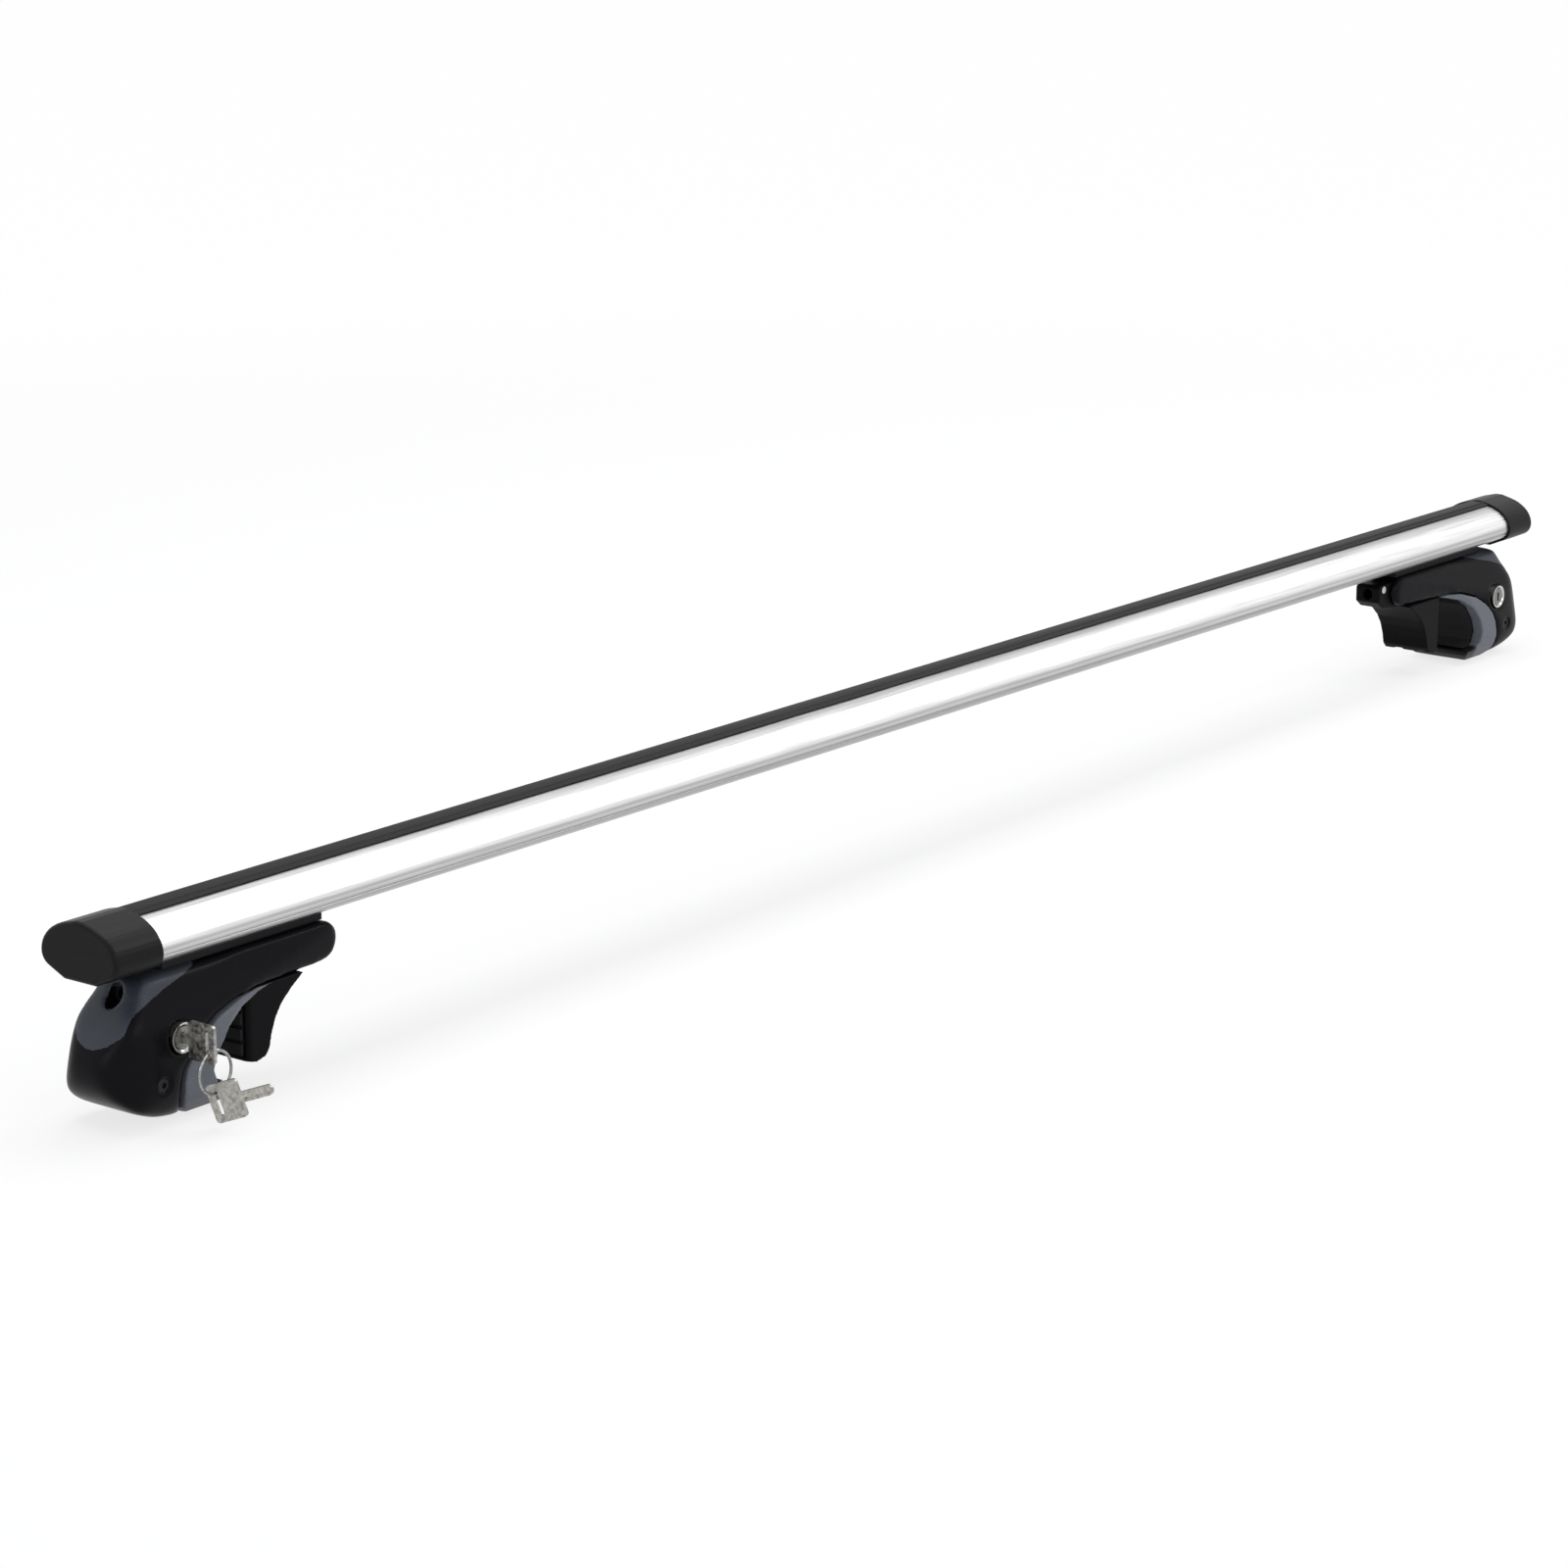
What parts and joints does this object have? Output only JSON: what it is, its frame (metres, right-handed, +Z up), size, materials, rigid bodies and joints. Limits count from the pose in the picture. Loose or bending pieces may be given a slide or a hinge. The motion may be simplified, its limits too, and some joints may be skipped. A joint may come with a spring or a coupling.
{
  "type": "roof rack crossbar",
  "caption": "Aluminium wing-section crossbar with end caps, a rubber strip and lockable rail feet with screw-driven clamping jaws; keys hang at a lock on a split ring.",
  "frame": {"origin": "middle of the bar's length, on the flat top of the rubber strip", "axes": "+X along the bar, +Z up out of the load face, -Y the face that the locks are on"},
  "size_m": [1.326, 0.0956, 0.103],
  "materials": {
    "aluminium_bar": "satin, lightly brushed along its length",
    "rubber_strip": "matt",
    "cap_plastic": "fine grain",
    "shell_plastic": "smooth, half matt",
    "cover_plastic": "half matt",
    "liner_plastic": "half matt",
    "pad_rubber": "matt",
    "jaw_plastic": "half matt",
    "zinc_steel": "zinc plated",
    "dark_steel": "black oxide",
    "lock_chrome": "polished, worn",
    "lock_metal": "satin",
    "key_metal": "nickel plated, worn",
    "ring_metal": "bright wire"
  },
  "bodies": {
    "rail": {"bar": "aluminium_bar", "top_strip": "rubber_strip", "left_end_cap": "cap_plastic", "right_end_cap": "cap_plastic"},
    "left_foot": {"left_shell": "shell_plastic", "left_cover": "cover_plastic", "left_liner": "liner_plastic", "left_rail_pad": "pad_rubber", "left_seat_pad": "pad_rubber", "left_slot_plate": "zinc_steel", "left_plate_screws": "zinc_steel", "left_shell_screw": "dark_steel", "left_washer": "zinc_steel", "left_lock_bezel": "lock_chrome"},
    "left_jaw_body": {"left_jaw": "jaw_plastic", "left_jaw_pad": "pad_rubber", "left_barrel_nut": "zinc_steel", "left_stop_pins": "zinc_steel"},
    "left_screw": {"left_clamp_screw": "zinc_steel"},
    "left_lock": {"left_lock_barrel": "lock_metal", "left_lock_cam": "zinc_steel", "key": "key_metal"},
    "ring": {"key_ring": "ring_metal"},
    "spare": {"spare_key": "key_metal"},
    "right_foot": {"right_shell": "shell_plastic", "right_cover": "cover_plastic", "right_liner": "liner_plastic", "right_rail_pad": "pad_rubber", "right_seat_pad": "pad_rubber", "right_slot_plate": "zinc_steel", "right_plate_screws": "zinc_steel", "right_shell_screw": "dark_steel", "right_washer": "zinc_steel", "right_lock_bezel": "lock_chrome"},
    "right_jaw_body": {"right_jaw": "jaw_plastic", "right_jaw_pad": "pad_rubber", "right_barrel_nut": "zinc_steel", "right_stop_pins": "zinc_steel"},
    "right_screw": {"right_clamp_screw": "zinc_steel"},
    "right_lock": {"right_lock_barrel": "lock_metal", "right_lock_cam": "zinc_steel"}
  },
  "joints": [
    {"name": "left_foot_slide", "type": "slide", "parent": "rail", "child": "left_foot", "axis": [1, 0, 0], "range_m": [-0.001, 0.12]},
    {"name": "right_foot_slide", "type": "slide", "parent": "rail", "child": "right_foot", "axis": [-1, 0, 0], "range_m": [-0.001, 0.1]},
    {"name": "left_jaw_slide", "type": "slide", "parent": "left_foot", "child": "left_jaw_body", "axis": [1, 0, 0], "range_m": [-0.006, 0.016]},
    {"name": "right_jaw_slide", "type": "slide", "parent": "right_foot", "child": "right_jaw_body", "axis": [-1, 0, 0], "range_m": [-0.021, 0.001]},
    {"name": "left_clamp_turn", "type": "hinge", "parent": "left_foot", "child": "left_screw", "pos_m": [-0.6285, 0, -0.0405], "axis": [1, 0, 0], "range_deg": [-5800, 2200]},
    {"name": "right_clamp_turn", "type": "hinge", "parent": "right_foot", "child": "right_screw", "pos_m": [0.6285, 0, -0.0405], "axis": [-1, 0, 0], "range_deg": [-400, 7600]},
    {"name": "left_lock_turn", "type": "hinge", "parent": "left_foot", "child": "left_lock", "pos_m": [-0.621, -0.02, -0.061], "axis": [0, 1, 0], "range_deg": [-90, 0]},
    {"name": "right_lock_turn", "type": "hinge", "parent": "right_foot", "child": "right_lock", "pos_m": [0.621, -0.02, -0.061], "axis": [0, 1, 0], "range_deg": [0, 90]},
    {"name": "ring_swing", "type": "hinge", "parent": "left_lock", "child": "ring", "pos_m": [-0.621, -0.0414, -0.0657], "axis": [0.9397, 0, 0.342], "range_deg": [-30, 10]},
    {"name": "spare_key_swing", "type": "hinge", "parent": "ring", "child": "spare", "pos_m": [-0.61741, -0.0414, -0.08607], "axis": [1, 0, 0], "range_deg": [-20, 20]}
  ],
  "couplings": [
    {"joint": "left_clamp_turn", "follows": "left_jaw_slide", "rad_per_m": -6283.2},
    {"joint": "right_clamp_turn", "follows": "right_jaw_slide", "rad_per_m": -6283.2}
  ]
}
